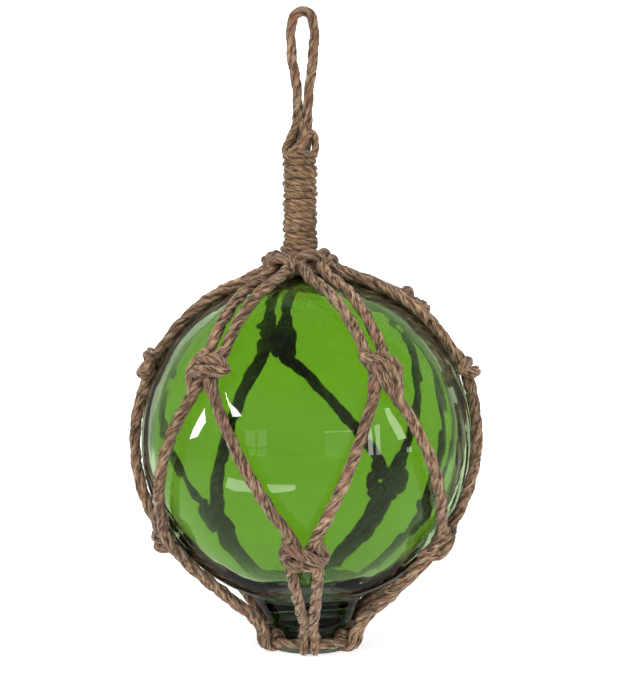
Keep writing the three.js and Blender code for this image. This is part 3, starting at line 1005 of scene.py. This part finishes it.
def makeFootRing():
    rng = random.Random("footRing")
    parts = MeshParts()
    points = []
    for i in range(ringMake["points"]):
        a = i * 2 * math.pi / ringMake["points"]
        radius = netMake["ringRadius"] + ringMake["uneven"] * math.sin(3 * a)
        points.append(around(ringMiddle, a, radius, ringMiddle[2] + ringMake["rise"] * math.sin(2 * a + 1)))
    addRope(parts, points, rng, radius=ringMake["radius"], closed=True)
    piece = parts.build("footRing", jute)
    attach(piece, "root")
    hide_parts("foot_ring")


makeFootRing()
print("foot ring made")


cameraMake = {
    "distance": 1.15,
    "elevation": math.radians(4),
    "lens": 99.0,
    "aimX": 1.2 * mm,
    "aimZ": 184 * mm,
}
studio = {
    "paper": (0.72, 0.72, 0.72, 1),
    "glow": 0.7,  # the paper is lit from behind, where it stands behind the ball
    "paperMirrored": (0.16, 0.16, 0.16, 1),  # the glass mirrors a darker paper than it lets through
    "glowMirrored": 0.1,
    "glowSide": (0.5, 0.85),
    "glowFront": (-0.45, -0.12),
    "glowTop": (0.7, 1.1),
    "floorDepth": 2.6,
    "wallAt": 1.5,
    "bend": 0.6,
    "bendSteps": 12,
    "width": 6.0,
    "wallHeight": 4.0,
}


# A sheet of paper that runs over the floor and up behind.
def makeBackdrop():
    bend, bendSteps = studio["bend"], studio["bendSteps"]
    bendFrom = studio["wallAt"] - bend
    profile = [(-studio["floorDepth"], 0.0), (bendFrom, 0.0)]
    for i in range(1, bendSteps + 1):
        a = i / bendSteps * math.pi / 2
        profile.append((bendFrom + bend * math.sin(a), bend * (1 - math.cos(a))))
    profile.append((studio["wallAt"], studio["wallHeight"]))
    half = studio["width"] / 2
    verts = [(x, y, z) for y, z in profile for x in (-half, half)]
    faces = [(2 * i, 2 * i + 1, 2 * i + 3, 2 * i + 2) for i in range(len(profile) - 1)]
    mesh = bpy.data.meshes.new("paperSweep")
    mesh.from_pydata(verts, [], faces)
    mesh.polygons.foreach_set("use_smooth", [True] * len(mesh.polygons))
    sweep = bpy.data.objects.new("paperSweep", mesh)
    bpy.context.scene.collection.objects.link(sweep)
    material = bpy.data.materials.new("whitePaper")
    tree, shader = nodeTree(material)
    place = addNode(tree, "SeparateXYZ")
    setInput(tree, place, "Vector", addNode(tree, "TexCoord").outputs["Object"])
    sideways = maths(tree, "ABSOLUTE", place.outputs["X"])
    glow = ramp(tree, sideways, *studio["glowSide"], 1.0, 0.0)
    glow = maths(tree, "MULTIPLY", glow, ramp(tree, place.outputs["Y"], *studio["glowFront"]))
    glow = maths(tree, "MULTIPLY", glow, ramp(tree, place.outputs["Z"], *studio["glowTop"], 1.0, 0.0))
    setInput(tree, shader, "Emission Color", (1, 1, 1, 1))
    path = addNode(tree, "LightPath")
    mirrored = mirroredShare(tree, path)
    # Seen straight on, the paper is plain all over.
    glow = maths(tree, "MAXIMUM", glow, path.outputs["Is Camera Ray"])
    power = ramp(tree, mirrored, 0.0, 1.0, studio["glow"], studio["glowMirrored"])
    setInput(tree, shader, "Emission Strength", maths(tree, "MULTIPLY", glow, power))
    setInput(tree, shader, "Base Color", mixColour(tree, mirrored, studio["paper"], studio["paperMirrored"]))
    shader.inputs["Roughness"].default_value = 0.9
    shader.inputs["Specular IOR Level"].default_value = 0.1
    mesh.materials.append(material)


# Window-shaped light cards, given by where they show on the ball's front, in radii right and up from its
# middle, how bright they are and how far off they stand.
windowCards = [
    {"far": 1.5, "bright": 26, "shape": [(-0.685, 0.0), (-0.64, 0.02), (-0.59, 0.105), (-0.596, 0.188)]},
    {"far": 1.5, "bright": 26, "shape": [(-0.5, 0.31), (-0.482, 0.21), (-0.46, 0.142), (-0.377, 0.15),
                                         (-0.392, 0.167), (-0.451, 0.226), (-0.485, 0.306)]},
    {"far": 1.5, "bright": 6, "shape": [(0.457, 0.19), (0.475, 0.13), (0.53, 0.01), (0.59, 0.02),
                                        (0.57, 0.08), (0.5, 0.205)]},
    {"far": 1.5, "bright": 7, "shape": [(0.355, -0.13), (0.355, 0.11), (0.38, 0.12), (0.385, -0.13)]},
    {"far": 1.5, "bright": 5, "shape": [(0.4, -0.14), (0.4, 0.1), (0.425, 0.11), (0.425, -0.13)]},
    {"far": 1.5, "bright": 5, "shape": [(0.58, -0.13), (0.58, -0.04), (0.61, -0.03), (0.61, -0.12)]},
    {"far": 1.5, "bright": 5, "shape": [(0.625, -0.12), (0.625, -0.03), (0.65, -0.03), (0.65, -0.12)]},
    {"far": 1.5, "bright": 2.2, "shape": [(0.09, 0.058), (0.09, 0.07), (0.33, 0.075), (0.33, 0.062)]},
    {"far": 1.5, "bright": 0.8, "shape": [(0.1, -0.16), (0.1, 0.055), (0.31, 0.06), (0.31, -0.15)]},
    {"far": 1.5, "bright": 1.3, "shape": [(-0.36, -0.02), (-0.36, 0.07), (-0.3, 0.075), (-0.3, -0.02)]},
    {"far": 1.5, "bright": 1.3, "shape": [(-0.285, -0.02), (-0.285, 0.075), (-0.23, 0.08), (-0.23, -0.02)]},
    {"far": 1.5, "bright": 1.1, "shape": [(-0.36, -0.1), (-0.36, -0.035), (-0.3, -0.035), (-0.3, -0.1)]},
    {"far": 1.5, "bright": 1.1, "shape": [(-0.285, -0.1), (-0.285, -0.035), (-0.23, -0.035), (-0.23, -0.1)]},
    {"far": 0.236, "bright": 5, "shape": [(-0.46, -0.26), (-0.45, -0.2), (-0.07, -0.235), (-0.065, -0.32),
                                          (-0.3, -0.32)]},
]


# Where the line of sight lands, this far on, when a spot on the ball's front mirrors it.
def mirroredFrom(across, up, far):
    tilt = cameraMake["elevation"]
    ahead = np.array([0.0, math.cos(tilt), -math.sin(tilt)])
    above = np.array([0.0, math.sin(tilt), math.cos(tilt)])
    facing = math.sqrt(1 - across**2 - up**2)
    normal = np.array([across, 0.0, 0.0]) + above * up - ahead * facing
    return ballCentre + normal * ballRadius + (ahead + normal * 2 * facing) * far


# Only mirrored rays see the cards.
def makeWindowCards():
    verts, faces, bright = [], [], []
    for card in windowCards:
        faces.append(list(range(len(verts), len(verts) + len(card["shape"]))))
        verts += [mirroredFrom(across, up, card["far"]).tolist() for across, up in card["shape"]]
        bright.append(card["bright"])
    mesh = bpy.data.meshes.new("windowCards")
    mesh.from_pydata(verts, [], faces)
    mesh.attributes.new("bright", "FLOAT", "FACE").data.foreach_set("value", bright)
    material = bpy.data.materials.new("windowLight")
    tree, shader = nodeTree(material)
    mirrored = mirroredShare(tree, addNode(tree, "LightPath"))
    strength = addNode(tree, "Attribute", attribute_name="bright").outputs["Fac"]
    shader.inputs["Base Color"].default_value = (0, 0, 0, 1)
    shader.inputs["Emission Color"].default_value = (1.0, 0.99, 0.93, 1)
    setInput(tree, shader, "Emission Strength", maths(tree, "MULTIPLY", strength, mirrored))
    mesh.materials.append(material)
    cards = bpy.data.objects.new("windowCards", mesh)
    bpy.context.scene.collection.objects.link(cards)
    cards.visible_camera = cards.visible_diffuse = cards.visible_transmission = cards.visible_shadow = False


softboxes = {
    "keySoft": {"place": (-1.1, -1.7, 1.9), "width": 1.5, "height": 1.3, "power": 26},
    "fillSoft": {"place": (1.7, -1.6, 0.9), "width": 1.3, "height": 1.1, "power": 7},
}


# Soft light that the glass neither mirrors nor lets through.
def makeSoftboxes():
    for name, box in softboxes.items():
        light = bpy.data.lights.new(name, "AREA")
        light.shape = "RECTANGLE"
        light.size, light.size_y = box["width"], box["height"]
        light.energy = box["power"]
        lamp = bpy.data.objects.new(name, light)
        lamp.location = box["place"]
        towards = Vector(tuple(ballCentre)) - Vector(box["place"])
        lamp.rotation_euler = towards.to_track_quat("-Z", "Y").to_euler()
        bpy.context.scene.collection.objects.link(lamp)
        lamp.visible_glossy = False
        lamp.visible_transmission = False


worldMake = {
    "colour": (1.0, 0.99, 0.97, 1),
    "fromFront": -0.6,  # the light comes from in front and above
    "fromAbove": 0.7,
    "diffuse": (-0.1, 0.8, 0.25, 0.9),
    "mirrored": (0.35, 0.75, 0.34, 0.12),  # darker overhead
    "seen": 1.0,
}


def makeWorld():
    world = bpy.data.worlds.new("studioWorld")
    bpy.context.scene.world = world
    world.use_nodes = True
    tree = world.node_tree
    way = addNode(tree, "SeparateXYZ")
    setInput(tree, way, "Vector", addNode(tree, "TexCoord").outputs["Generated"])
    front = maths(tree, "MULTIPLY", way.outputs["Y"], worldMake["fromFront"])
    above = maths(tree, "MULTIPLY", way.outputs["Z"], worldMake["fromAbove"])
    soft = ramp(tree, maths(tree, "ADD", front, above), *worldMake["diffuse"])
    low = ramp(tree, way.outputs["Z"], *worldMake["mirrored"])
    path = addNode(tree, "LightPath")
    strength = mixValue(tree, path.outputs["Is Diffuse Ray"], low, soft)
    strength = mixValue(tree, path.outputs["Is Camera Ray"], strength, worldMake["seen"])
    background = tree.nodes["Background"]
    setInput(tree, background, "Color", worldMake["colour"])
    setInput(tree, background, "Strength", strength)


makeBackdrop()
makeWindowCards()
makeSoftboxes()
makeWorld()
print("studio made")


def makeCamera():
    data = bpy.data.cameras.new("camera")
    data.lens = cameraMake["lens"]
    camera = bpy.data.objects.new("camera", data)
    aim = Vector((cameraMake["aimX"], 0, cameraMake["aimZ"]))
    tilt = cameraMake["elevation"]
    camera.location = aim + Vector((0, -math.cos(tilt), math.sin(tilt))) * cameraMake["distance"]
    camera.rotation_euler = (aim - camera.location).to_track_quat("-Z", "Y").to_euler()
    bpy.context.scene.collection.objects.link(camera)
    bpy.context.scene.camera = camera


makeCamera()
bpy.context.scene.view_settings.view_transform = "Standard"
